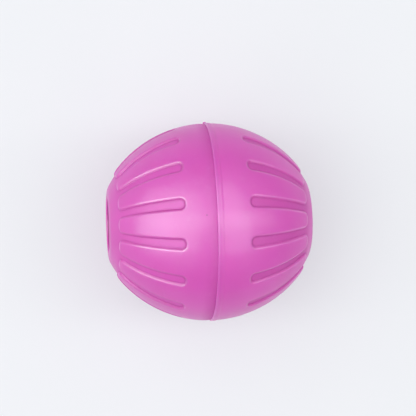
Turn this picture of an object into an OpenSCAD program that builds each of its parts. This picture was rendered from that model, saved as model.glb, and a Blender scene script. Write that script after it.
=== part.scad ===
// Squeaking dog ball: two moulded rubber halves bonded at the middle, round an air chamber, with a reed
// squeaker plugged into one end. The ball lies on its side: X runs through its two ends, with the squeaker
// at -X, Z is up, and the origin is the ball's centre. Millimetres.

/* [Ball] */
// Diameter round the middle, over the lands
ball_d = 65; // [62:0.5:68]
// Length from one end flat to the other
ball_len = 66.4; // [65.6:0.2:67]
// Radius of the lands' curve, seen from the side
land_curve_r = 38.2; // [37.9:0.1:38.4]
// Diameter of the air chamber
chamber_d = 54; // [52:0.5:55]
// Distance of the chamber's flat ends from the middle
chamber_reach = 25.6; // [25:0.1:26]

/* [Grooves] */
// Number of grooves round each half
groove_count = 15; // [12:1:16]
// Width of the smooth band round the middle
band_w = 20.8; // [16:0.2:24]
// Width of a groove where it starts, beside the band
groove_w = 3.6; // [3:0.1:4]
// Width of a groove where it runs out into the collar
groove_end_w = 2.4; // [2:0.1:2.6]
// Depth of the groove floor under the lands, measured at the middle
groove_depth = 0.6; // [0.5:0.05:0.8]
// Radius of the groove floor's curve, seen from the side
floor_curve_r = 37.2; // [37.1:0.05:37.4]
// Distance of the lands' ends from the middle
land_reach = 30.6; // [30:0.2:31]
// Corner radius of a land's end
land_corner_r = 1.2; // [0.8:0.1:1.3]

/* [Ends] */
// Diameter of the dimple in each end
dimple_d = 18.4; // [18:0.2:19]
// Depth of the dimple in each end
dimple_depth = 3.2; // [2.8:0.1:3.6]
// Bevel of the dimple's edge
dimple_bevel = 0.5; // [0.3:0.1:0.7]
// Width of the bevel that rounds the end flat into the collar
flat_bevel_w = 1.5; // [1:0.1:1.8]

/* [Seam] */
// How far the squeaker half's rim rolls in at the seam
roll_in = 0.3; // [0.25:0.05:0.45]
// Width of that roll
roll_w = 2.3; // [2:0.1:2.6]
// Radius of that roll, seen in section
roll_r = 12; // [11:0.5:13]
// Width of the plain half's raised lip
lip_w = 1.3; // [1:0.1:1.6]
// Height of that lip over the lands
lip_h = 0.16; // [0.1:0.02:0.2]
// Thickness of the locating tongue
tongue_w = 1.4; // [1.2:0.1:1.6]
// Length of the locating tongue
tongue_len = 1.6; // [1.2:0.1:2]

/* [Squeaker] */
// Diameter of the squeaker's flange
flange_d = 17.6; // [17:0.1:17.6]
// Thickness of the flange
flange_t = 1.4; // [1.2:0.1:1.6]
// Outer diameter of the squeaker's tube
tube_d = 11.2; // [10.8:0.1:11.6]
// Length of the tube behind the flange
tube_len = 12.5; // [12.2:0.1:14]
// Bore of the tube
bore_d = 8.8; // [8.6:0.1:9]
// Diameter of the air hole
air_hole_d = 2.5; // [2:0.1:3]
// Diameter over the barb
barb_d = 13; // [12.6:0.1:13.4]
// Width of the reed
reed_w = 4.6; // [4:0.1:5]
// Length of the reed's free tongue
reed_free_len = 5.6; // [5:0.1:5.8]
// Lift of the free tongue from its bed, at rest, in degrees
reed_lift = 3; // [2.6:0.1:4]

/* [Hidden] */
$fn = 96;

far = 60;
fit = 0.02;
half_len = ball_len / 2;
land_top_r = ball_d / 2;
land_centre = land_curve_r - land_top_r;
floor_centre = floor_curve_r - (land_top_r - groove_depth);
chamber_r = chamber_d / 2;

// Radius of the lands or of the groove floor, at a distance from the middle
function land_r(along) = sqrt(pow(land_curve_r, 2) - pow(along, 2)) - land_centre;
function floor_r(along) = sqrt(pow(floor_curve_r, 2) - pow(along, 2)) - floor_centre;

// Grooves: rounded beside the band, straight to the collar, and flared round the lands' corners
groove_pitch = 360 / groove_count;
groove_start = band_w / 2 + groove_w / 2;
groove_inner_r = 12.5;
groove_outer_r = 40;
land_root = 0.6;
land_corner_rise = 0.12;

// Ends
dimple_r = dimple_d / 2;
dimple_floor = half_len - dimple_depth;
flat_r = floor_r(half_len) - flat_bevel_w / 2;
flat_bevel_drop = half_len - sqrt(pow(floor_curve_r, 2) - pow(flat_r + flat_bevel_w + floor_centre, 2));

// Roll of the squeaker half's rim: the arc of radius roll_r through two points of the rim's section
roll_start = [land_r(roll_w), roll_w];
roll_end = [land_top_r - roll_in, 0];
roll_chord = roll_start - roll_end;
roll_half = norm(roll_chord) / 2;
roll_sag = sqrt(pow(roll_r, 2) - pow(roll_half, 2));
roll_centre = (roll_start + roll_end) / 2 + [-roll_chord[1], roll_chord[0]] / norm(roll_chord) * roll_sag;
roll_clear = 0.5;

// Locating tongue, in the middle of the rim
tongue_r = (chamber_r + land_top_r) / 2;
tongue_gap = 0.05;
tongue_end_gap = 0.1;

// Bead of cement in the corner between the lip and the rolled rim
bead_w = 0.42;
bead_crown = 0.04;
bead_edge = 0.2;
bead_gap = 0.01;

// Squeaker, measured outwards from the ball's middle along its own axis
flange_r = flange_d / 2;
tube_r = tube_d / 2;
bore_r = bore_d / 2;
face_top = dimple_floor + flange_t;
tube_end = dimple_floor - tube_len;
barb_gap = 0.05;
barb_top = chamber_reach - barb_gap;
barb_len = 2.1;
dish_r = [3.2, 7.4];
dish_depth = 0.4;
face_t = 2.8;
bore_end = face_top - face_t;
tube_lead = 0.5;

// Reed: it lies on the bed's flat, which is the tube's middle plane
bed_r = bore_r - fit;
bed_len = 10.2;
channel_w = 2.6;
channel_depth = 2;
channel_len = 8.4;
clamp_len = 4;
reed_root_t = 0.2;
reed_t = 0.14;
reed_gap = 0.05;
hinge_along = bore_end - clamp_len - reed_gap;

// Placing

// From a piece's own axis, along +Z, to the plain end or to the squeaker end; its own +X becomes the top
module to_plain_end() { rotate([180, -90, 0]) children(); }
module to_squeaker_end() { rotate([0, -90, 0]) children(); }

// Sections of a half, as radius and distance from the middle

// What lies inside a curve of revolution, between two distances from the middle
module inside_curve(curve_r, centre, from, to) {
    intersection() {
        translate([-centre, 0]) circle(r = curve_r);
        translate([0, from]) square([far, to - from]);
    }
}

// The air chamber: round, with a flat end that the squeaker's barb locks behind
module chamber_section() {
    intersection() {
        circle(r = chamber_r);
        translate([0, -far]) square([far, far + chamber_reach]);
    }
}

// The dimple in an end, with its bevelled edge
module dimple_section() {
    translate([0, dimple_floor]) square([dimple_r, far]);
    polygon([
        [0, half_len - dimple_bevel],
        [dimple_r, half_len - dimple_bevel],
        [dimple_r + 2 * dimple_bevel, half_len + dimple_bevel],
        [0, half_len + dimple_bevel]
    ]);
}

// The wedge that rounds the end flat into the collar
module flat_bevel_section() {
    polygon([
        [flat_r - flat_bevel_w, half_len + flat_bevel_drop],
        [flat_r + 2 * flat_bevel_w, half_len - 2 * flat_bevel_drop],
        [flat_r + 2 * flat_bevel_w, half_len + flat_bevel_drop]
    ]);
}

// The inner wall: it makes the groove floors, the collar and the end
module wall_section() {
    difference() {
        inside_curve(floor_curve_r, floor_centre, 0, half_len);
        chamber_section();
        dimple_section();
        flat_bevel_section();
    }
}

// The skin that the lands are cut from, rooted in the wall
module skin_section() {
    difference() {
        inside_curve(land_curve_r, land_centre, 0, land_reach);
        translate([-floor_centre, 0]) circle(r = floor_curve_r - land_root);
    }
}

// What the roll takes off the corner of a rim
module roll_section() {
    difference() {
        translate([land_top_r - 2, -1]) square([4, 1 + roll_w + roll_clear]);
        translate(roll_centre) circle(r = roll_r);
    }
}

module tongue_section(gap, length) {
    translate([tongue_r - tongue_w / 2 - gap, -length])
        square([tongue_w + 2 * gap, 2 * length]);
}

// Grooves

// Outline of one groove: across it, and along the ball
module groove_outline() {
    start_half = groove_w / 2;
    end_half = groove_end_w / 2;
    polygon([
        [-start_half, groove_start], [start_half, groove_start],
        [end_half, land_reach], [end_half, half_len],
        [-end_half, half_len], [-end_half, land_reach]
    ]);
    intersection() {
        translate([0, groove_start]) circle(r = start_half);
        translate([-far, groove_start - far]) square([2 * far, far]);
    }
    for (side = [0, 1]) mirror([side, 0]) land_corner(end_half);
}

// The corner that a groove's flare takes off the end of a land
module land_corner(from) {
    translate([from, land_reach + land_corner_rise - land_corner_r]) difference() {
        square([land_corner_r, land_corner_r + 1]);
        translate([land_corner_r, 0]) circle(r = land_corner_r);
    }
}

module grooves() {
    for (i = [0 : groove_count - 1])
        rotate([0, 0, (i + 0.5) * groove_pitch])
            translate([groove_inner_r, 0, 0])
                rotate([90, 0, 90])
                    linear_extrude(height = groove_outer_r - groove_inner_r) groove_outline();
}

module lands() {
    difference() {
        rotate_extrude() skin_section();
        grooves();
    }
}

// Pieces

// The half that carries the squeaker: its rim rolls in, and its tongue locates the other half
module squeaker_half() {
    color("orchid") to_squeaker_end() difference() {
        union() {
            rotate_extrude() wall_section();
            lands();
            translate([0, 0, -tongue_len]) difference() {
                cylinder(r = tongue_r + tongue_w / 2, h = tongue_len + 1);
                translate([0, 0, -1]) cylinder(r = tongue_r - tongue_w / 2, h = tongue_len + 3);
            }
        }
        rotate_extrude() roll_section();
        translate([0, 0, chamber_reach - 1]) cylinder(r = tube_r + fit, h = dimple_depth + far);
    }
}

// The closed half: its rim stands a little proud as a lip, and its groove takes the tongue
module plain_half() {
    color("orchid") to_plain_end() difference() {
        union() {
            rotate_extrude() wall_section();
            lands();
            rotate_extrude() translate([land_top_r - 1, 0]) square([1 + lip_h, lip_w]);
        }
        rotate_extrude() tongue_section(tongue_gap, tongue_len + tongue_end_gap);
    }
}

// The bead of rubber cement that was squeezed out of the seam
module seam_bead() {
    top = land_top_r + lip_h - bead_crown;
    foot = land_top_r - roll_in;
    color("plum") to_squeaker_end() rotate_extrude() difference() {
        polygon([
            [foot - bead_edge, 0], [top, 0], [top - bead_crown, bead_w / 3],
            [foot + bead_edge, bead_w], [foot - bead_edge, bead_w]
        ]);
        translate(roll_centre) circle(r = roll_r + bead_gap, $fn = 256);
    }
}

// The plug: a dished flange in the dimple, and a barbed tube through the wall
module squeaker_body() {
    color("ivory") to_squeaker_end() rotate_extrude() difference() {
        union() {
            translate([0, dimple_floor]) square([flange_r, flange_t]);
            translate([0, tube_end]) square([tube_r, tube_len]);
            polygon([
                [0, barb_top - barb_len], [tube_r, barb_top - barb_len],
                [barb_d / 2, barb_top], [0, barb_top]
            ]);
        }
        translate([0, tube_end - 1]) square([bore_r, bore_end - tube_end + 1]);
        translate([0, tube_end]) square([air_hole_d / 2, far]);
        translate([dish_r[0], face_top - dish_depth]) square([dish_r[1] - dish_r[0], 1]);
        polygon([
            [tube_r + 1, tube_end - 1], [tube_r - tube_lead, tube_end],
            [tube_r + 1, tube_end + 1 + tube_lead]
        ]);
    }
}

// A half-round block that fills one side of the bore
module half_round(side, from, length) {
    intersection() {
        translate([0, 0, from]) cylinder(r = bed_r, h = length);
        translate([side > 0 ? reed_root_t : -far, -far / 2, from]) cube([far, far, length]);
    }
}

// The bed: the reed beats on its flat, and air leaves along its channel
module reed_bed() {
    color("ivory") to_squeaker_end() difference() {
        half_round(-1, bore_end - bed_len, bed_len);
        translate([-channel_depth, -channel_w / 2, bore_end - channel_len])
            cube([channel_depth + 1, channel_w, channel_len + 1]);
    }
}

// The wedge that clamps the reed on the bed and closes the other side of the bore
module reed_wedge() {
    color("ivory") to_squeaker_end() half_round(1, bore_end - clamp_len, clamp_len);
}

// The clamped end of the reed
module reed_root() {
    color("gold") to_squeaker_end()
        translate([0, -reed_w / 2, bore_end - clamp_len]) cube([reed_root_t, reed_w, clamp_len]);
}

// The free end of the reed, lifted off the bed about the clamp's edge
module reed_tongue() {
    color("gold") to_squeaker_end()
        translate([reed_root_t / 2, 0, hinge_along]) rotate([0, -reed_lift, 0])
            translate([-reed_t / 2, -reed_w / 2, -reed_free_len]) cube([reed_t, reed_w, reed_free_len]);
}

squeaker_half();
plain_half();
seam_bead();
squeaker_body();
reed_bed();
reed_root();
reed_tongue();
reed_wedge();
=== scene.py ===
# %% [markdown]
# # A squeaking dog ball
# The ball is two grooved halves of soft pink rubber, bonded round the middle, with a reed squeaker plugged
# into one end. The solids already say where each piece is, so this script loads them as a fixed frame and
# builds the looks: finer meshes for the rubber, the seam and the squeaker's plug, and a finish for every
# piece. The ball's sizes are in millimetres, and become Blender's metres where a mesh is made.

# %% Load the packed model
import math

import bpy
import numpy as np
from mathutils import Matrix, Vector


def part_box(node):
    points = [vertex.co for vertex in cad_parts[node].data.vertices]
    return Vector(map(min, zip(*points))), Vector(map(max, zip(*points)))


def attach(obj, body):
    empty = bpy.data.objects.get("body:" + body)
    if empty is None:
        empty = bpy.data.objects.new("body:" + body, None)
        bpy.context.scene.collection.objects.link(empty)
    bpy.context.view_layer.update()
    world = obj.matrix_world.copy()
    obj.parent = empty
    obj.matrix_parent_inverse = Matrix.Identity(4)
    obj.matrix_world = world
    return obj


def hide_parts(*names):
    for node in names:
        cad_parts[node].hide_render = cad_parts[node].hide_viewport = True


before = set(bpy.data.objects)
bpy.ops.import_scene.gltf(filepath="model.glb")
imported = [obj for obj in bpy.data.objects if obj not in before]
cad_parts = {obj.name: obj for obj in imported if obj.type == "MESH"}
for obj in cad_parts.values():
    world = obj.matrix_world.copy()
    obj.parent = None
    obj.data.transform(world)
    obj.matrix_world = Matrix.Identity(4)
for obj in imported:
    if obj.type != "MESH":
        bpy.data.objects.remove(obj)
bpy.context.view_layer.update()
print("nodes:", ", ".join(sorted(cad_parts)))

# %% [markdown]
# ## The camera
# The photograph looks down on the ball from almost straight above. The camera could be placed by eye, but
# four facts give it directly: the ball's width in pixels, where its centre falls, the thin crescent of the
# dimple at the left end, which is the tilt, and the lean of the seam, which is the roll. A long lens from
# far off keeps the grooves near the outline as narrow as they look there.

# %% Where the camera looks from
MM = 0.001
BALL_R = 32.5
CAMERA_FAR = 17 * BALL_R
CAMERA_TILT = math.radians(6.3)  # towards the squeaker's end
CAMERA_TURN = math.radians(0.5)  # towards the back
CAMERA_ROLL = math.radians(1.8)

to_camera = Vector((
    -math.sin(CAMERA_TILT),
    math.cos(CAMERA_TILT) * math.sin(CAMERA_TURN),
    math.cos(CAMERA_TILT) * math.cos(CAMERA_TURN),
))
level = Vector((1, 0, 0))
level = (level - level.dot(to_camera) * to_camera).normalized()
upright = to_camera.cross(level)
right = math.cos(CAMERA_ROLL) * level - math.sin(CAMERA_ROLL) * upright
up = math.sin(CAMERA_ROLL) * level + math.cos(CAMERA_ROLL) * upright
print("towards the camera:", [round(value, 3) for value in to_camera])

# %% Camera in the scene
IMAGE = 416  # pixels each way
BALL_PIXELS = 98.4  # the ball's radius in the photograph
BALL_AT = (208.1, 221.8)  # its centre in the photograph


def add_to_scene(name, data):
    """New object with the given data, linked to the scene."""
    made = bpy.data.objects.new(name, data)
    bpy.context.scene.collection.objects.link(made)
    return made


pixel = BALL_R / BALL_PIXELS
aside = (IMAGE / 2 - BALL_AT[0]) * pixel
above = (BALL_AT[1] - IMAGE / 2) * pixel
stand = (to_camera * CAMERA_FAR + right * aside + up * above) * MM

camera = add_to_scene("camera", bpy.data.cameras.new("camera"))
camera.matrix_world = Matrix((right, up, to_camera)).transposed().to_4x4()
camera.location = stand
camera.data.lens = camera.data.sensor_width * CAMERA_FAR / (IMAGE * pixel)
bpy.context.scene.camera = camera
bpy.context.scene.view_settings.view_transform = "Standard"
print("camera at", [round(value, 3) for value in stand], "m, lens", round(camera.data.lens, 1), "mm")

# %% [markdown]
# ## The half's profile
# Cut the ball through its ends and each half shows two arcs: the outer one is the tops of the lands, which
# stand between the grooves, and the inner one is the floor of the grooves. They close on each other towards
# the end, so the grooves get shallower there. A sphere with cuts in it can't give that, so both arcs are
# written as functions of one angle, measured from the middle of the ball along the floor's arc.

# %% Two arcs of a half
LAND_CURVE = 38.2
FLOOR_CURVE = 37.2
GROOVE_DEPTH = 0.6  # between the arcs, at the middle of the ball
SURFACE_CURVE = 38.5  # turns an angle into a distance along the surface
HALF_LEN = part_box("plain_half")[1].x / MM
LAND_CENTRE = LAND_CURVE - BALL_R
FLOOR_CENTRE = FLOOR_CURVE - (BALL_R - GROOVE_DEPTH)


def land_rise(angle):
    """Height of the land's arc over the floor's arc, along the floor's own radius."""
    apart = FLOOR_CENTRE - LAND_CENTRE
    reach = apart * np.cos(angle) + np.sqrt(LAND_CURVE**2 - (apart * np.sin(angle)) ** 2)
    return reach - FLOOR_CURVE


def angle_at(axial):
    """Angle at which the land's arc is about a given distance from the seam, along the ball's axis."""
    return math.asin(axial / (FLOOR_CURVE + GROOVE_DEPTH * math.cos(axial / LAND_CURVE)))


for axial in (0.0, HALF_LEN / 2, HALF_LEN):
    gap = float(land_rise(angle_at(axial)))
    print("arcs", round(axial, 1), "mm from the seam:", round(gap, 2), "mm apart")

# %% [markdown]
# ## The grooves
# A groove is a slot with a round end beside the smooth band, and its other end runs out into the collar,
# the plain ring round the end of the ball. Cutting fifteen slots with a boolean leaves ragged edges and no
# fillets. Here a distance says how far each point is from the outline of its land, and the next step makes
# a height of it.

# %% A groove along the half
GROOVES = 15
PITCH = 2 * math.pi / GROOVES
LAND_ON_TOP = 0.5  # of a pitch, which puts a land and not a groove on top of the ball
BAND_HALF = 10.4  # half of the smooth band
LAND_REACH = 30.6  # from the seam to the lands' end
GROOVE_HALF = 1.8  # half of the groove's width beside the band
GROOVE_END_HALF = 1.2  # half of its width at the lands' end
groove_from = SURFACE_CURVE * angle_at(BAND_HALF)
groove_to = SURFACE_CURVE * angle_at(LAND_REACH)


def groove_share(along):
    """0 where a groove starts beside the band, 1 where the lands end."""
    return np.clip((along - groove_from) / (groove_to - groove_from), 0, 1)


def groove_half(along):
    """Half the groove's width, which narrows towards the end of the ball."""
    return GROOVE_HALF + (GROOVE_END_HALF - GROOVE_HALF) * groove_share(along)


print("grooves from", round(groove_from, 2), "to", round(groove_to, 2), "mm along the surface")

# %% Distance into a land
GROOVE_CORNER = 1.65  # radius at the groove's round end
LAND_CORNER = 2.0  # radius of the land's corners beside the collar


def land_distance(along, across):
    """Distance into the land from its outline; negative in the groove and on the collar."""
    side = np.abs(across) - (groove_half(along) - GROOVE_CORNER)
    end = groove_from + GROOVE_CORNER - along
    outside = np.hypot(np.maximum(side, 0), np.maximum(end, 0))
    groove = outside + np.minimum(np.maximum(side, end), 0) - GROOVE_CORNER
    collar = groove_to - along
    to_groove = np.maximum(LAND_CORNER - groove, 0)
    to_collar = np.maximum(LAND_CORNER - collar, 0)
    in_corner = (to_groove > 0) & (to_collar > 0)
    return np.where(in_corner, LAND_CORNER - np.hypot(to_groove, to_collar), np.minimum(groove, collar))


halfway = (groove_from + groove_to) / 2
print("middle of a groove:", round(float(land_distance(halfway, 0.0)), 2), "mm from the lands")

# %% [markdown]
# ## The grooves' walls
# No edge of moulded rubber is sharp: a wall leaves the groove's floor in a tight fillet and turns into the
# land in a wide one, which catches the light as a pale line. A bevel modifier would need clean edges to
# work on. Here two arcs and a straight slope turn the distance from the outline into a height, so every
# fillet has its real radius.

# %% Height of a wall
FOOT_FILLET = 0.3
TOP_FILLET = 1.2
WALL_SLOPE = math.radians(74)  # the steepest; a shallow groove has a gentler wall
WALL_OUTSIDE = 0.34  # share of the wall's width on the groove's side of the outline


def wall_height(distance, depth):
    """Height over the floor: a fillet at the foot, a straight wall and a fillet at the top of the land."""
    slope = np.minimum(WALL_SLOPE, np.arccos(np.maximum(1 - depth / (FOOT_FILLET + TOP_FILLET), 0)))
    foot = FOOT_FILLET * np.sin(slope)
    top = TOP_FILLET * np.sin(slope)
    straight = depth - (FOOT_FILLET + TOP_FILLET) * (1 - np.cos(slope))
    run = straight / np.tan(slope)
    width = foot + run + top
    place = np.clip(distance + WALL_OUTSIDE * width, 0, width)
    in_foot = FOOT_FILLET - np.sqrt(np.maximum(FOOT_FILLET**2 - np.minimum(place, foot) ** 2, 0))
    in_wall = np.clip(place - foot, 0, run) * np.tan(slope)
    left = width - np.maximum(place, foot + run)
    in_top = np.sqrt(np.maximum(TOP_FILLET**2 - left**2, 0)) - TOP_FILLET * np.cos(slope)
    return in_foot + in_wall + in_top


print("height at the outline:", round(float(wall_height(0.0, GROOVE_DEPTH)), 2), "of", GROOVE_DEPTH, "mm")

# %% Round end of a land
END_FALL = 0.3  # share of the land's height that is gone at its end
END_ROUND = 3.0  # length over which it goes


def end_share(along):
    """Share of the land's height that is left near its end, where it rounds off."""
    return 1 - END_FALL * np.clip(1 - (groove_to - along) / END_ROUND, 0, 1) ** 2


print("height left at a land's end:", float(end_share(groove_to)))

# %% [markdown]
# ## The grid
# The skin of a half is a stack of rings. Evenly spaced points would waste most of them on the plain lands
# and leave few on the walls, so the rings crowd together at the seam, at the grooves' start and at the
# lands' end, and round each ring the points crowd at the walls of the grooves and follow them as they
# narrow.

# %% Rings along the half
SEAM_ZONE = 3.2  # from the seam
SEAM_RINGS = 20
SEAM_CROWD = 1.3  # above 1 the rings crowd at the seam itself
START_ZONE = (-0.9, 2.6)  # before and after the grooves' start
END_ZONE = (-2.2, 0.9)  # before and after the lands' end
ZONE_RINGS = (8, 24, 15, 20, 6)  # band, grooves' start, grooves, lands' end, collar


def ring_places(end_angle):
    """Distances along the surface of a half at which its rings lie."""
    stops = [SEAM_ZONE]
    stops += [groove_from + shift for shift in START_ZONE]
    stops += [groove_to + shift for shift in END_ZONE]
    stops.append(SURFACE_CURVE * end_angle)
    places = [SEAM_ZONE * np.linspace(0, 1, SEAM_RINGS) ** SEAM_CROWD]
    for start, stop, rings in zip(stops, stops[1:], ZONE_RINGS):
        places.append(np.linspace(start, stop, rings + 1)[1:])
    return np.concatenate(places)


print("rings on a half's skin:", SEAM_RINGS + sum(ZONE_RINGS))

# %% Points round a ring
WALL_REACH = 0.86  # on each side of a wall, where its points lie close
POINTS_FLOOR = 5
POINTS_WALL = 15
POINTS_LAND = 5


def points_round(along):
    """Angles of the points of one ring, from the top of the ball."""
    place = np.clip(along, groove_from + GROOVE_CORNER, groove_to)
    angle = place / SURFACE_CURVE
    radius = FLOOR_CURVE * math.cos(angle) - FLOOR_CENTRE + land_rise(angle)
    half = groove_half(place)
    floor = np.linspace(0, half - WALL_REACH, POINTS_FLOOR + 1)[:-1]
    wall = np.linspace(half - WALL_REACH, half + WALL_REACH, POINTS_WALL + 1)[:-1]
    land = np.linspace(half + WALL_REACH, radius * PITCH / 2, POINTS_LAND + 1)
    side = np.concatenate([floor, wall, land]) / radius
    groove = np.concatenate([side, PITCH - side[-2:0:-1]])
    return (groove[None, :] + (np.arange(GROOVES)[:, None] + LAND_ON_TOP) * PITCH).ravel()


print("points round a ring:", len(points_round(0.0)))

# %% [markdown]
# ## Corners
# The flat end, the dimple and the squeaker's plug are turned shapes with small radii on their corners. A
# bevel modifier could round them, but it depends on the mesh. Writing the corner with its radius, as on a
# drawing, and letting a helper put an arc there keeps the size exact.

# %% Round the corners of a profile
ARC_STEPS = 5


def corner_arc(before, here, after, fillet):
    """Points of the arc that replaces a corner between two straight stretches."""
    before = (before - here) / np.linalg.norm(before - here)
    after = (after - here) / np.linalg.norm(after - here)
    opening = math.acos(np.clip(before @ after, -1, 1))
    inwards = (before + after) / np.linalg.norm(before + after)
    centre = here + inwards * fillet / math.sin(opening / 2)
    back = fillet / math.tan(opening / 2)
    first = here + before * back - centre
    last = here + after * back - centre
    sweep = math.pi - opening
    made = []
    for part in np.linspace(0, sweep, ARC_STEPS + 1):
        made.append(centre + (first * math.sin(sweep - part) + last * math.sin(part)) / math.sin(sweep))
    return made


def soften(corners, loop=False):
    """Profile through (along, radius, corner radius), with an arc at each corner that has a radius."""
    places = np.array([corner[:2] for corner in corners], dtype=float)
    made = []
    for i, (_, _, fillet) in enumerate(corners):
        at_an_end = not loop and i in (0, len(corners) - 1)
        if fillet == 0 or at_an_end:
            made.append(places[i])
        else:
            made += corner_arc(places[i - 1], places[i], places[(i + 1) % len(corners)], fillet)
    return np.array(made)


triangle = [(0, 0, 1), (9, 0, 1), (0, 9, 1)]
print("a triangle with round corners has", len(soften(triangle, loop=True)), "points")

# %% [markdown]
# ## Rings into a mesh
# Every piece made here is a stack of rings about the ball's axis. Blender's Screw modifier could turn a
# plain profile, but not one that changes round the ball as the grooves do, so a function joins rings of
# points with four-sided faces. The stack either closes on itself, as on a piece with a hole through it, or
# ends in a point at each end. The enclosed volume comes out negative when the faces look inwards, and then
# they are turned over.

# %% Faces between rings
def ring_faces(rows, columns, loop):
    """Four-sided faces from each ring to the next; in a loop the last ring meets the first."""
    index = np.arange(rows * columns).reshape(rows, columns)
    below = index if loop else index[:-1]
    above = np.roll(index, -1, axis=0) if loop else index[1:]
    sides = [below, np.roll(below, -1, axis=1), np.roll(above, -1, axis=1), above]
    return np.stack(sides, axis=-1).reshape(-1, 4)


def tip_faces(rows, columns):
    """Triangles that close the first and the last ring; their two tips follow all the other points."""
    first_tip = rows * columns
    last_ring = first_tip - columns
    faces = []
    for here in range(columns):
        beside = (here + 1) % columns
        faces.append([first_tip, beside, here])
        faces.append([first_tip + 1, last_ring + here, last_ring + beside])
    return faces


def volume_inside(points, quads):
    """Six times the volume inside four-sided faces, negative when they look inwards."""
    a, b, c, d = np.moveaxis(points[quads], 1, 0)
    return np.sum(a * (np.cross(b, c) + np.cross(c, d)))


print("three rings of four points:", len(ring_faces(3, 4, loop=False)) + len(tip_faces(3, 4)), "faces")

# %% Mesh from rings
SHARP_ANGLE = math.radians(42)


def about_axis(along, radius, angles):
    """Points given by their place along the ball's axis, their radius and their angle from the top."""
    along, radius, angles = np.broadcast_arrays(along, radius, angles)
    return np.stack([along, radius * np.sin(angles), radius * np.cos(angles)], axis=-1)


def mesh_from_rings(name, rings, loop, values=None):
    """Closed mesh object from rings of points in millimetres, with values for each point if any are given."""
    rows, columns, _ = rings.shape
    points = rings.reshape(-1, 3)
    quads = ring_faces(rows, columns, loop)
    faces = quads.tolist()
    if not loop:
        points = np.vstack([points, rings[0].mean(axis=0), rings[-1].mean(axis=0)])
        faces += tip_faces(rows, columns)
    if volume_inside(points, quads) < 0:
        faces = [face[::-1] for face in faces]
    mesh = bpy.data.meshes.new(name)
    mesh.from_pydata((points * MM).tolist(), [], faces)
    mesh.shade_smooth()
    mesh.set_sharp_from_angle(angle=SHARP_ANGLE)
    for label, on_rings in (values or {}).items():
        layer = mesh.attributes.new(label, "FLOAT", "POINT")
        on_points = np.zeros(len(points), dtype=np.float32)
        on_points[: rows * columns] = on_rings.ravel()
        layer.data.foreach_set("value", on_points)
    print(name, "has", len(mesh.vertices), "points and", len(mesh.polygons), "faces")
    return add_to_scene(name, mesh)


print("edges of more than", round(math.degrees(SHARP_ANGLE)), "degrees stay sharp")

# %% [markdown]
# ## The two halves
# Both halves come from the same mould shape. They differ at the seam, where the left rim rolls in and the
# right one has a narrow raised lip, and at the end, where the left one has a hole for the squeaker and the
# right one a gate mark, the low step where the rubber flowed in. A half could be a bare skin, but a real
# one has a wall, so its profile goes all the way round: outside, end, dimple, chamber and the joint's
# faces.

# %% Rim of each half
SQUEAKER = True  # the two halves, where a value differs between them
PLAIN = False
ROLL_IN = 0.3
ROLL_WIDE = 3.6
ROLL_POWER = 2.0
LIP_HIGH = 0.16
LIP_WIDE = 1.3
LIP_EDGE = 0.4


def rim_shift(axial, squeaker_end):
    """How far the surface stands out from the land's arc near the seam."""
    if squeaker_end:
        return -ROLL_IN * np.clip(1 - axial / ROLL_WIDE, 0, 1) ** ROLL_POWER
    fall = np.clip((axial - LIP_WIDE) / LIP_EDGE, -1, 1)
    return LIP_HIGH * (1 - np.sin(fall * math.pi / 2)) / 2


for half in (SQUEAKER, PLAIN):
    print("rim at the seam stands out by", round(float(rim_shift(0.0, half)), 2), "mm")

# %% End of a half
DIMPLE_R = 9.2
DIMPLE_FLOOR = 30.0  # from the seam
DIMPLE_EDGE = 0.5  # radius at the dimple's mouth
DIMPLE_FILLET = 0.35  # radius at its floor
FLAT_FILLET = 6.0  # radius between the collar and the end's flat
FLAT_STEPS = 7
TUBE_R = 5.6
GATE_R = 1.1
GATE_CLEAR = 0.5
GATE_HIGH = 0.15
GATE_SLOPE = 0.1
GATE_TIP = 0.3


def gate_mark():
    """Low round step in the middle of the plain dimple."""
    top = DIMPLE_FLOOR + GATE_HIGH
    return [(DIMPLE_FLOOR, GATE_R + GATE_SLOPE), (top, GATE_R - GATE_SLOPE), (top, GATE_TIP)]


def end_profile(squeaker_end):
    """Angle at which the end leaves the floor's arc, and its profile over the flat and down the dimple."""
    fillet_at = HALF_LEN - FLAT_FILLET
    fillet_out = math.sqrt((FLOOR_CURVE - FLAT_FILLET) ** 2 - fillet_at**2)
    leave = math.atan2(fillet_at, fillet_out)
    turn = np.linspace(leave, math.pi / 2, FLAT_STEPS + 1)[1:]
    along = fillet_at + FLAT_FILLET * np.sin(turn)
    radius = fillet_out - FLOOR_CENTRE + FLAT_FILLET * np.cos(turn)
    dimple = soften([
        (HALF_LEN, radius[-1], 0),
        (HALF_LEN, DIMPLE_R, DIMPLE_EDGE),
        (DIMPLE_FLOOR, DIMPLE_R, DIMPLE_FILLET),
        (DIMPLE_FLOOR, TUBE_R if squeaker_end else GATE_R + GATE_CLEAR, 0),
    ])
    profile = [np.stack([along, radius], axis=1), dimple[1:]]
    if not squeaker_end:
        profile.append(gate_mark())
    return leave, np.vstack(profile)


print("end leaves the collar at", round(math.degrees(end_profile(SQUEAKER)[0]), 1), "degrees")

# %% Inside of a half
CHAMBER_R = 27.0
CHAMBER_REACH = 25.6  # from the seam to the chamber's flat end
CHAMBER_TIP = 0.5  # radius of the last ring where that flat closes
DOME_POINTS = 9
TONGUE = (30.45, 29.05, -1.6)  # outer and inner radius, and reach from the seam; minus is across it
RECESS = (30.5, 29.0, 1.7)


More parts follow.
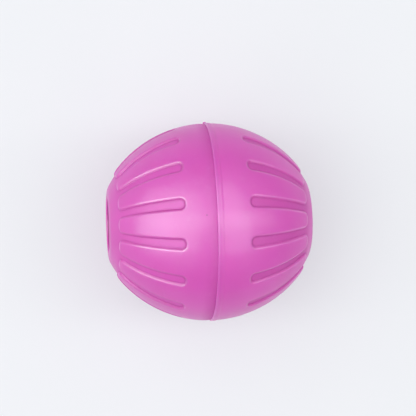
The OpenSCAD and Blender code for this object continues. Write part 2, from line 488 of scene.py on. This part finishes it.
def inner_profile(squeaker_end):
    """From the chamber's end along its dome to the seam, and over the joint's faces to the outer rim."""
    width = math.sqrt(CHAMBER_R**2 - CHAMBER_REACH**2)
    turn = np.linspace(math.atan2(CHAMBER_REACH, width), 0, DOME_POINTS)
    dome = np.stack([CHAMBER_R * np.sin(turn), CHAMBER_R * np.cos(turn)], axis=1)
    outer, inner, reach = TONGUE if squeaker_end else RECESS
    start = (CHAMBER_REACH, TUBE_R if squeaker_end else CHAMBER_TIP)
    joint = [(0, inner), (reach, inner), (reach, outer), (0, outer)]
    return np.vstack([start, dome, joint])


print("wall at the seam:", BALL_R - CHAMBER_R, "mm")

# %% [markdown]
# ## What the finish needs to know
# Rubber isn't the same all over: edges are shiny, and pale from wear with a painted highlight, the lands'
# tips carry a painted reflection, the foot of a wall is matte and darker with painted shade, the grooves and
# the dimple get painted shade, and the rim at the seam is matte and darker with painted shade. A texture
# could be painted for that, but the distance from a land's outline is already known at each point, so each of
# these becomes a value on the mesh, which the material reads later.

# %% Values on the skin
EDGE_AT = 0.4  # how far into the land its edge shines
EDGE_WIDE = 0.3
EDGE_FADES = 0.65  # share of the groove's length at which the shine begins to fade
EDGE_FADE = 0.7  # share of the shine that is gone at the lands' end
# Pale edges: wear on both halves, and on the plain half mostly a painted highlight.
EDGE_WEAR_AND_HIGHLIGHT = {SQUEAKER: 0.12, PLAIN: 0.6}
EDGE_PALE_START = 0.3  # share of an edge's paleness, wear and painted highlight, that is left beside the band
TIP_AT = 0.4  # how far from the lands' end the painted reflection on the tips lies
TIP_WIDE = 0.45
FOOT_AT = -0.15  # place of a wall's foot, outside the land
FOOT_WIDE = 0.5
FOOT_FADE = 0.5  # share of the foot's matte finish and painted shade that is gone at the lands' end
# Painted shade: shares of darker pink at the feet of the walls and on the groove floors, for each half.
FOOT_PAINTED_SHADE = {SQUEAKER: 0.42, PLAIN: 0.26}
GROOVE_PAINTED_SHADE = {SQUEAKER: 0.04, PLAIN: 0.26}
COLLAR_BLEND = 2.0  # from the lands' end to where the collar counts as land
MATTE_WIDE = 5.0  # from the seam


def near(value, place, width):
    """1 at a place, falling smoothly to 0 on both sides of it."""
    return np.exp(-(((value - place) / width) ** 2))


def skin_values(places, distance, rise, along, squeaker_end):
    """Height in the groove, shine, matte feet, matte rim, painted shade, and wear with painted highlights at
    each point of the skin.
    """
    share = groove_share(places)
    land = np.maximum(rise, np.clip((places - groove_to) / COLLAR_BLEND, 0, 1))
    edge = near(distance, EDGE_AT, EDGE_WIDE)
    # tip is a painted reflection of the floor on the rounded ends of the lands
    tip = near(groove_to - places, TIP_AT, TIP_WIDE) * np.clip(rise, 0, 1)
    foot = near(distance, FOOT_AT, FOOT_WIDE) * (1 - FOOT_FADE * share)
    shine = edge * (1 - EDGE_FADE * np.clip((share - EDGE_FADES) / (1 - EDGE_FADES), 0, 1))
    rim = np.clip(1 - along / MATTE_WIDE, 0, 1) * squeaker_end
    # tone is painted shade: darker pink on the groove floors and at the feet of the walls
    tone = (1 - land) * GROOVE_PAINTED_SHADE[squeaker_end] + foot * FOOT_PAINTED_SHADE[squeaker_end]
    # Pale edges are wear with a painted highlight, and the lands' tips get a painted reflection.
    wear_and_painted_highlight = EDGE_WEAR_AND_HIGHLIGHT[squeaker_end] * edge * (EDGE_PALE_START + (1 - EDGE_PALE_START) * share) + tip
    return {"land": land, "edge": shine, "foot": foot, "rim": rim, "tone": tone, "wear_and_painted_highlight": wear_and_painted_highlight}


print("shine", EDGE_WIDE, "mm away from an edge:", round(float(near(EDGE_WIDE, 0, EDGE_WIDE)), 2))

# %% [markdown]
# ## A half from its rings
# Now the outside, the end and the inside come together. They could be three objects that touch, but a mesh
# with no open edge is a solid that can be printed or weighed, so they become one stack of rings, which runs
# from the chamber to the seam, over the grooved skin and down into the dimple.

# %% Grooved skin
SIDE = {SQUEAKER: -1, PLAIN: 1}  # direction of a half along the ball's axis


def grooved_skin(squeaker_end, leave):
    """Rings of the grooved skin of a half, the angles of their points, and the values for the finish."""
    rings_at = ring_places(leave)
    angles = np.array([points_round(place) for place in rings_at])
    places = rings_at[:, None]
    angle = places / SURFACE_CURVE
    depth = land_rise(angle) * end_share(places)
    floor_r = FLOOR_CURVE * np.cos(angle) - FLOOR_CENTRE
    from_groove = (angles / PITCH) % 1 - LAND_ON_TOP
    across = from_groove * PITCH * (floor_r + depth * np.cos(angle))
    distance = land_distance(places, across)
    height = wall_height(distance, depth)
    along = (FLOOR_CURVE + height) * np.sin(angle)
    radius = floor_r + height * np.cos(angle) + rim_shift(along, squeaker_end)
    rings = about_axis(SIDE[squeaker_end] * along, radius, angles)
    return rings, angles, skin_values(places, distance, height / depth, along, squeaker_end)


print("grid of a skin:", grooved_skin(PLAIN, end_profile(PLAIN)[0])[1].shape)

# %% Closed halves
DIMPLE_STARTS = FLAT_STEPS + ARC_STEPS  # place in the end's profile where the dimple's side begins
# Painted shade in the dimple at each end, much deeper at the squeaker's end.
DIMPLE_PAINTED_SHADE = {SQUEAKER: 0.9, PLAIN: 0.3}


def turned(profile, angles, side):
    """Rings of a profile (along, radius) turned about the ball's axis."""
    return about_axis(side * profile[:, :1], profile[:, 1:], angles)


def half_ball(name, squeaker_end):
    """One grooved half of the ball as a closed mesh."""
    side = SIDE[squeaker_end]
    leave, end = end_profile(squeaker_end)
    inside = inner_profile(squeaker_end)
    skin, angles, values = grooved_skin(squeaker_end, leave)
    rings = np.concatenate([turned(inside, angles[0], side), skin, turned(end, angles[-1], side)])
    skin_ends = len(inside) + len(skin)
    full = {}
    for label, on_skin in values.items():
        full[label] = np.full(rings.shape[:2], 1.0 if label == "land" else 0.0)
        full[label][len(inside) : skin_ends] = on_skin
    full["tone"][skin_ends + DIMPLE_STARTS :] = DIMPLE_PAINTED_SHADE[squeaker_end]
    piece = mesh_from_rings(name, rings, loop=squeaker_end, values=full)
    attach(piece, "ball")
    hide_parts("squeaker_half" if squeaker_end else "plain_half")
    return piece


left_half = half_ball("grooved_half_squeaker", SQUEAKER)
right_half = half_ball("grooved_half_plain", PLAIN)

# %% [markdown]
# ## The seam
# Where the halves were pressed together, a little rubber cement came out and was trimmed, which leaves a
# thin line that isn't quite even, and one nub where the trimming began. The line is pale where its shoulder
# shines, and its colour is a little paler as a painted highlight. A plain ring would look machined, so the
# width and height wander a little round the ball, and the nub is a small swelling of the same ring.

# %% Seam bead
BEAD_POINTS = 1440
BEAD_WIDE = 0.55
BEAD_CROWN = 0.04  # over the lip
BEAD_SUNK = 0.06  # under the rolled rim
BEAD_PROFILE = [  # across and up, as shares of the width and the height
    (-1.0, 0.1), (-0.95, 0.45), (-0.84, 0.76), (-0.66, 0.94), (-0.4, 1.0), (0.1, 0.98), (0.3, 0.88),
]
BEAD_SHOULDER = 4  # points of the profile that shine
BEAD_SHINE = 0.35
WANDER = [(0.5, 5, 0.4), (0.3, 11, 2.0), (0.2, 29, 0.0)]  # share, waves round the ball, start
WIDTH_WANDERS = 0.14
CROWN_WANDERS = 0.5
NUB_AT = math.pi / 2
NUB_HIGH = 0.3
NUB_WIDE = 0.55
NUB_SPREADS = 0.5


def seam_bead():
    """Ring of squeezed-out cement in the step between the rolled rim and the lip."""
    around = np.linspace(0, 2 * math.pi, BEAD_POINTS, endpoint=False)
    wander = sum(share * np.sin(waves * around + start) for share, waves, start in WANDER)
    nub = near(around, NUB_AT, NUB_WIDE / BALL_R)
    wide = BEAD_WIDE * (1 + WIDTH_WANDERS * wander + NUB_SPREADS * nub)
    low = BALL_R - ROLL_IN
    top = BALL_R + LIP_HIGH + BEAD_CROWN * (1 + CROWN_WANDERS * wander) + NUB_HIGH * nub
    rings = [about_axis(across * wide, low + rise * (top - low), around) for across, rise in BEAD_PROFILE]
    for across, _ in (BEAD_PROFILE[-1], BEAD_PROFILE[0]):
        rings.append(about_axis(across * wide, low - BEAD_SUNK, around))
    rings = np.array(rings)
    shoulder = np.zeros(rings.shape[:2])
    shoulder[:BEAD_SHOULDER] = BEAD_SHINE
    values = {"land": np.ones(rings.shape[:2]), "edge": shoulder}
    piece = mesh_from_rings("seam_cement_bead", rings, loop=True, values=values)
    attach(piece, "ball")
    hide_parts("seam_bead")
    return piece


bead = seam_bead()

# %% [markdown]
# ## The squeaker's plug
# The plug is one moulded piece: a flange with a shallow dish and an air hole, and a barbed tube that snaps
# through the rubber. It could be a few cylinders joined together, but at the end of the ball it is the
# whole view, and there the sharp corners of cylinders look drawn. So its profile is written once, with a
# radius at each corner.

# %% Sizes of the plug
PLUG_FACE = 31.4  # places along the axis are measured from the seam
DISH_FLOOR = 31.0
FLANGE_BACK = 30.02
BORE_END = 28.6
BARB_FACE = 25.55
BARB_END = 23.45
TUBE_END = 17.5
AIR_HOLE_R = 1.25
BOSS_R = 3.2  # the ring round the air hole
DISH_R = 7.4
DISH_SLOPE = 0.4
FLANGE_R = 8.8
NECK_R = 5.58  # the tube where it passes the rubber
BARB_R = 6.5
BORE_R = 4.4
TUBE_CHAMFER = 0.5
solid_face = -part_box("squeaker_body")[0].x / MM
print("plug's face at", PLUG_FACE, "mm, its solid's at", round(solid_face, 2), "mm")

# %% Turned plug
HOLE_EDGE = 0.25
DISH_EDGE = 0.3
FLANGE_EDGE = 0.35
BACK_EDGE = 0.2
TUBE_EDGE = 0.1
PLUG_POINTS = 128
PLUG_PROFILE = [
    (PLUG_FACE, AIR_HOLE_R, HOLE_EDGE),
    (PLUG_FACE, BOSS_R, DISH_EDGE),
    (DISH_FLOOR, BOSS_R + DISH_SLOPE, DISH_EDGE),
    (DISH_FLOOR, DISH_R - DISH_SLOPE, DISH_EDGE),
    (PLUG_FACE, DISH_R, DISH_EDGE),
    (PLUG_FACE, FLANGE_R, FLANGE_EDGE),
    (FLANGE_BACK, FLANGE_R, BACK_EDGE),
    (FLANGE_BACK, NECK_R, 0),
    (BARB_FACE, NECK_R, 0),
    (BARB_FACE, BARB_R, TUBE_EDGE),
    (BARB_END, TUBE_R, TUBE_EDGE),
    (TUBE_END + TUBE_CHAMFER, TUBE_R, TUBE_EDGE),
    (TUBE_END, TUBE_R - TUBE_CHAMFER, TUBE_EDGE),
    (TUBE_END, BORE_R, TUBE_EDGE),
    (BORE_END, BORE_R, BACK_EDGE),
    (BORE_END, AIR_HOLE_R, 0),
]


def squeaker_plug():
    """Flange, barbed tube, bore and air hole of the squeaker as one closed turned mesh."""
    angles = np.linspace(0, 2 * math.pi, PLUG_POINTS, endpoint=False)
    rings = turned(soften(PLUG_PROFILE, loop=True), angles, SIDE[SQUEAKER])
    piece = mesh_from_rings("squeaker_plug", rings, loop=True)
    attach(piece, "ball")
    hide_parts("squeaker_body")
    return piece


plug = squeaker_plug()

# %% [markdown]
# ## Finishes as expressions
# A finish is a network of nodes. It could be wired by hand, but then a plain sum takes a dozen lines and
# hides what it says. This small class wraps a node's output so that Python's own operators add the Math
# nodes, and one method adds any other node. Colours go through a Mix node, because a Math node would turn
# them grey.

# %% Wire
class Wire:
    """A node's output; sums of wires and numbers add Math nodes to its tree."""

    def __init__(self, tree, socket=None):
        self.tree = tree
        self.socket = socket

    def node(self, kind, settings=None, sockets=None, out=0):
        """Adds a node, sets its settings, then the values or links of its sockets, and gives one output."""
        made = self.tree.nodes.new(kind)
        for name, value in (settings or {}).items():
            setattr(made, name, value)
        for name, value in (sockets or {}).items():
            if isinstance(value, Wire):
                self.tree.links.new(value.socket, made.inputs[name])
            else:
                made.inputs[name].default_value = value
        return Wire(self.tree, made.outputs[out]) if len(made.outputs) else None

    def maths(self, operation, first, second):
        """Math node on wires or numbers."""
        return self.node("ShaderNodeMath", {"operation": operation}, {0: first, 1: second})

    def __add__(self, other):
        return self.maths("ADD", self, other)

    def __radd__(self, other):
        return self.maths("ADD", other, self)

    def __sub__(self, other):
        return self.maths("SUBTRACT", self, other)

    def __rsub__(self, other):
        return self.maths("SUBTRACT", other, self)

    def __mul__(self, other):
        return self.maths("MULTIPLY", self, other)

    def __rmul__(self, other):
        return self.maths("MULTIPLY", other, self)

    def over(self, low, high):
        """0 below low, 1 above high, smooth between."""
        span = {"Value": self, "From Min": low, "From Max": high}
        return self.node("ShaderNodeMapRange", {"interpolation_type": "SMOOTHSTEP"}, span)

    def mix(self, first, share, second):
        """The first colour where the share is 0, the second where it is 1."""
        factor, colour_a, colour_b, colour_out = 0, 6, 7, 2
        settings = {"data_type": "RGBA", "clamp_factor": True}
        sockets = {factor: share, colour_a: first, colour_b: second}
        return self.node("ShaderNodeMix", settings, sockets, colour_out)


reflected = [name.strip("_") for name in vars(Wire) if name.startswith("__r")]
print("a number may come first in", ", ".join(reflected))

# %% Parts of a finish
def new_finish(name):
    """Empty material, the wire that starts its nodes, and the place of a point on the piece."""
    material = bpy.data.materials.new(name)
    material.use_nodes = True
    material.node_tree.nodes.clear()
    wire = Wire(material.node_tree)
    return material, wire, wire.node("ShaderNodeTexCoord", out="Object")


def noise(wire, place, size, detail=2.0, roughness=0.5):
    """Noise with features of about the given size in millimetres."""
    sockets = {"Vector": place, "Scale": 1 / (size * MM), "Detail": detail, "Roughness": roughness}
    return wire.node("ShaderNodeTexNoise", {"noise_dimensions": "3D"}, sockets, "Fac")


def mesh_value(wire, label):
    """A value that the mesh carries at each point."""
    return wire.node("ShaderNodeAttribute", {"attribute_name": label}, out="Fac")


def surface(wire, shader):
    """Ends a finish with its shader."""
    wire.node("ShaderNodeOutputMaterial", None, {"Surface": shader})


def finish_piece(piece, material):
    """Puts one material on a piece."""
    piece.data.materials.clear()
    piece.data.materials.append(material)


carried = [layer.name for layer in left_half.data.attributes if layer.data_type == "FLOAT"]
print("values that the skin carries:", ", ".join(carried))

# %% [markdown]
# ## Rubber
# Soft moulded rubber has a satin sheen, a colour that is a little uneven where it flowed in the mould, and
# a fine grain left by the mould's sparked surface. One colour with one roughness would look like plastic.
# So the six values on the mesh steer both: edges are glossy, and pale from wear with a painted highlight, the
# lands' tips get a painted reflection, the grooves and the dimple are darker with painted shade, the feet of
# their walls are matte and darker with painted shade, and the rim at the seam is matte and darker with
# painted shade. A little light scatters under the skin, as it does in soft rubber.

# %% Rubber colour
PINK = (0.66, 0.079, 0.467, 1)
PINK_DEEP = (0.37, 0.016, 0.217, 1)
PINK_PALE = (0.74, 0.20, 0.60, 1)
CLOUD_SIZE = 14.0
CLOUD_SPAN = (0.35, 0.75)
CLOUD_DEEP = 0.1
FLOW_SPAN = (0.5, 0.8)
FLOW_PALE = 0.1
# painted shade on the rolled rim beside the seam
RIM_PAINTED_SHADE = 0.3
SPECK = (0.38, 0.05, 0.25, 1)
SPECK_AT = (-3.84 * MM, 2.65 * MM, 32.17 * MM)
SPECK_FADES = (0.08 * MM, 0.36 * MM)


def rubber_colour(wire, place, flow, matte_rim_and_painted_shade, pale):
    """Pink, darker with painted shade in the grooves, the dimples and at the rim, paler from wear, painted
    highlights and painted reflections, with one dark speck.
    """
    cloud = noise(wire, place, CLOUD_SIZE, detail=3.0)
    # deep is the random clouds plus painted shade from tone and the rim
    deep = cloud.over(*CLOUD_SPAN) * CLOUD_DEEP + mesh_value(wire, "tone") + matte_rim_and_painted_shade * RIM_PAINTED_SHADE
    # light is the pale flow streaks plus wear, painted highlights and painted reflections
    light = flow.over(*FLOW_SPAN) * FLOW_PALE + mesh_value(wire, "wear_and_painted_highlight") + pale
    away = wire.node("ShaderNodeVectorMath", {"operation": "DISTANCE"}, {0: place, 1: SPECK_AT}, "Value")
    colour = wire.mix(PINK, deep, PINK_DEEP)
    colour = wire.mix(colour, light, PINK_PALE)
    return wire.mix(colour, 1 - away.over(*SPECK_FADES), SPECK)


print("deep pink is", round(PINK_DEEP[0] / PINK[0], 2), "times as red as pink")

# %% Rubber finish
FLOW_SIZE = 3.5
GRAIN_SIZE = 0.35
ROUGH = {"base": 0.34, "flow": 0.06, "groove": 0.09, "foot": 0.2, "rim": 0.2, "grain": 0.04}
GLOSS = {"base": 0.06, "land": 0.14, "edge": 0.5}
FLOW_BUMP = 0.6
RUBBER_BUMP = {"Strength": 0.35, "Distance": 0.02 * MM}
RUBBER_BODY = {
    "IOR": 1.5,
    "Specular IOR Level": 0.45,
    "Coat Roughness": 0.2,
    "Coat IOR": 1.8,
    "Subsurface Weight": 0.35,
    "Subsurface Radius": (1.0, 0.25, 0.6),
    "Subsurface Scale": 1.5 * MM,
}
# Painted highlight: share of paler pink on the seam's bead.
CEMENT_PAINTED_HIGHLIGHT = 0.2


def rubber_finish(name, pale=0.0):
    """Satin pink rubber; pale is how far the colour goes to a lighter pink, a painted highlight on the
    trimmed cement.
    """
    material, wire, place = new_finish(name)
    flow = noise(wire, place, FLOW_SIZE, detail=4.0, roughness=0.6)
    grain = noise(wire, place, GRAIN_SIZE, roughness=0.6)
    land = mesh_value(wire, "land")
    # the rim at the seam is matte, and rubber_colour also gives it painted shade
    matte_rim_and_painted_shade = mesh_value(wire, "rim").over(0.0, 1.0)
    rough = ROUGH["base"] + ROUGH["flow"] * flow + ROUGH["groove"] * (1 - land)
    rough = rough + ROUGH["foot"] * mesh_value(wire, "foot") + ROUGH["rim"] * matte_rim_and_painted_shade + ROUGH["grain"] * grain
    gloss = (GLOSS["base"] + GLOSS["land"] * land + GLOSS["edge"] * mesh_value(wire, "edge")) * (1 - matte_rim_and_painted_shade)
    sockets = {
        "Base Color": rubber_colour(wire, place, flow, matte_rim_and_painted_shade, pale),
        "Roughness": rough,
        "Coat Weight": gloss,
        "Normal": wire.node("ShaderNodeBump", None, {**RUBBER_BUMP, "Height": grain + FLOW_BUMP * flow}),
    }
    surface(wire, wire.node("ShaderNodeBsdfPrincipled", None, {**RUBBER_BODY, **sockets}))
    return material


rubber = rubber_finish("satin_pink_rubber")
finish_piece(left_half, rubber)
finish_piece(right_half, rubber)
finish_piece(bead, rubber_finish("trimmed_seam_cement", CEMENT_PAINTED_HIGHLIGHT))
print("rubber on", left_half.name, right_half.name, bead.name)

# %% [markdown]
# ## Plastics
# The plug, the reed's bed and its wedge are cheap white plastic, a little yellow and matte from the mould.
# The reed is a strip of amber film, smooth enough to shine, with fine lines along it from the roll it was
# cut from. Both could be one flat colour, but the plug fills the view at its end, so it gets clouds and a
# fine grain. The reed's lines are the same noise, stretched along the strip.

# %% Moulded plastic
IVORY = (0.80, 0.78, 0.71, 1)
IVORY_DULL = (0.66, 0.63, 0.55, 1)
IVORY_CLOUD = 4.0
IVORY_SPAN = (0.4, 0.8)
IVORY_CLOUDED = 0.4
IVORY_GRAIN = 0.25
IVORY_ROUGH = 0.38
GRAIN_ROUGH = 0.12
IVORY_BUMP = {"Strength": 0.3, "Distance": 0.015 * MM}


def moulded_plastic(name):
    """Matte ivory plastic with a faint mould grain."""
    material, wire, place = new_finish(name)
    cloud = noise(wire, place, IVORY_CLOUD, detail=3.0)
    grain = noise(wire, place, IVORY_GRAIN, roughness=0.6)
    sockets = {
        "Base Color": wire.mix(IVORY, cloud.over(*IVORY_SPAN) * IVORY_CLOUDED, IVORY_DULL),
        "Roughness": IVORY_ROUGH + GRAIN_ROUGH * grain,
        "Normal": wire.node("ShaderNodeBump", None, {**IVORY_BUMP, "Height": grain}),
    }
    surface(wire, wire.node("ShaderNodeBsdfPrincipled", None, sockets))
    return material


moulded = [plug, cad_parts["reed_bed"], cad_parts["reed_wedge"]]
ivory = moulded_plastic("moulded_ivory_plastic")
for piece in moulded:
    finish_piece(piece, ivory)
print("ivory plastic on", len(moulded), "pieces")

# %% Reed film
AMBER = (0.70, 0.46, 0.14, 1)
AMBER_DEEP = (0.55, 0.30, 0.07, 1)
LINE_SIZE = 0.12
LINE_STRETCH = (0.08, 1, 1)  # below 1 draws the noise out along the strip
LINE_SPAN = (0.45, 0.75)
LINE_DEEP = 0.5
FILM_ROUGH = 0.14
LINE_ROUGH = 0.1


def reed_film(name):
    """Glossy amber film with fine lines along the strip."""
    material, wire, place = new_finish(name)
    along = wire.node("ShaderNodeMapping", None, {"Vector": place, "Scale": LINE_STRETCH})
    lines = noise(wire, along, LINE_SIZE)
    sockets = {
        "Base Color": wire.mix(AMBER, lines.over(*LINE_SPAN) * LINE_DEEP, AMBER_DEEP),
        "Roughness": FILM_ROUGH + LINE_ROUGH * lines,
    }
    surface(wire, wire.node("ShaderNodeBsdfPrincipled", None, sockets))
    return material


reed = [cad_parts["reed_root"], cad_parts["reed_tongue"]]
film = reed_film("amber_reed_film")
for piece in reed:
    finish_piece(piece, film)
print("amber film on", len(reed), "pieces")

# %% [markdown]
# ## Floor
# The ball lies on a sheet of white paper, and all that is seen round it is that paper with a soft shadow. A
# white world would give the background and no shadow. So the floor is a real sheet, matte, and where the
# camera or a reflection sees it a share of its colour comes from the paper itself. That keeps it white and
# keeps the shadow, and puts no more light on the ball.

# %% White floor
FLOOR_WIDE = 4.0  # metres
FLOOR_CORNERS = [(-1, -1), (1, -1), (1, 1), (-1, 1)]
PAPER = (0.841, 0.858, 0.882, 1)
PAPER_GREY = (0.812, 0.833, 0.862, 1)
PAPER_CLOUD = 60.0
PAPER_LIT = 0.4
SEEN_BY = ("Is Camera Ray", "Is Glossy Ray", "Is Transmission Ray")


def white_paper(name):
    """Matte paper that gives a share of its own light to the camera and to reflections."""
    material, wire, place = new_finish(name)
    tone = wire.mix(PAPER, noise(wire, place, PAPER_CLOUD), PAPER_GREY)
    matte = wire.node("ShaderNodeBsdfDiffuse", None, {"Color": tone})
    lit = wire.node("ShaderNodeEmission", None, {"Color": tone, "Strength": 1.0})
    seen = sum(wire.node("ShaderNodeLightPath", out=ray) for ray in SEEN_BY)
    surface(wire, wire.node("ShaderNodeMixShader", None, {0: seen * PAPER_LIT, 1: matte, 2: lit}))
    return material


floor_at = -(BALL_R + LIP_HIGH + BEAD_CROWN) * MM
sheet = bpy.data.meshes.new("white_floor")
corners = [(x * FLOOR_WIDE / 2, y * FLOOR_WIDE / 2, floor_at) for x, y in FLOOR_CORNERS]
sheet.from_pydata(corners, [], [range(len(corners))])
floor = add_to_scene("white_floor", sheet)
finish_piece(floor, white_paper("white_paper"))
print("floor at", round(floor_at / MM, 2), "mm")

# %% [markdown]
# ## Light
# The ball was lit by large soft boxes, and their reflections are the pale patches on it. One big lamp could
# light it all, but the patches differ in place and width. Where a patch lies, the skin faces halfway
# between the camera and its lamp, which gives each lamp its lean: two boxes on the left, a long strip over
# the ball's axis and a weak box on the right. Three more lamps show only in the gloss. They are the bright
# middles of the boxes, and their tint has little red in it, so that their reflections stay pale on the
# pink.

# %% Soft boxes
LAMP_FAR = 1.2  # metres
LAMP_SWING = 2.0  # degrees towards the back
SHEEN = (0.62, 1.0, 0.82)


def soft_box(name, lean, wide, length, bright, swing=LAMP_SWING, gloss_only=False):
    """Rectangular lamp, in metres, that faces the ball and leans to the right by an angle in degrees."""
    lamp = bpy.data.lights.new(name, "AREA")
    lamp.shape = "RECTANGLE"
    lamp.size = length
    lamp.size_y = wide
    lamp.energy = math.pi * wide * length * bright
    box = add_to_scene(name, lamp)
    lean, swing = math.radians(lean), math.radians(swing)
    way = Vector((math.sin(lean) * math.cos(swing), math.sin(swing), math.cos(lean) * math.cos(swing)))
    box.location = way * LAMP_FAR
    box.rotation_euler = way.to_track_quat("Z", "Y").to_euler()
    box.visible_camera = False
    if gloss_only:
        box.visible_diffuse = False
        lamp.color = SHEEN
    print(name, "at", [round(value, 2) for value in box.location])


soft_box("soft_box_low", lean=-50, wide=1.3, length=1.6, bright=0.36)
soft_box("soft_box_high", lean=-30, wide=0.8, length=3.4, bright=0.76)
soft_box("strip_over", lean=0, wide=0.4, length=5.0, bright=2.3)
soft_box("soft_box_right", lean=45, wide=0.9, length=5.0, bright=0.26)
soft_box("sheen_left", lean=-44, wide=1.5, length=1.8, bright=2.4, gloss_only=True)
soft_box("sheen_low", lean=-60, wide=0.8, length=0.8, bright=2.0, gloss_only=True)
soft_box("sheen_right", lean=20, wide=0.7, length=2.0, bright=3.3, swing=4, gloss_only=True)

# %% Pale room
SKY = (0.97, 0.98, 1.0, 1)
SKY_LEVEL = 0.46

world = bpy.data.worlds.new("pale_room")
world.use_nodes = True
world.node_tree.nodes.clear()
wire = Wire(world.node_tree)
sky = wire.node("ShaderNodeBackground", None, {"Color": SKY, "Strength": SKY_LEVEL})
wire.node("ShaderNodeOutputWorld", None, {"Surface": sky})
bpy.context.scene.world = world
print("light from the room:", SKY_LEVEL)

# %% [markdown]
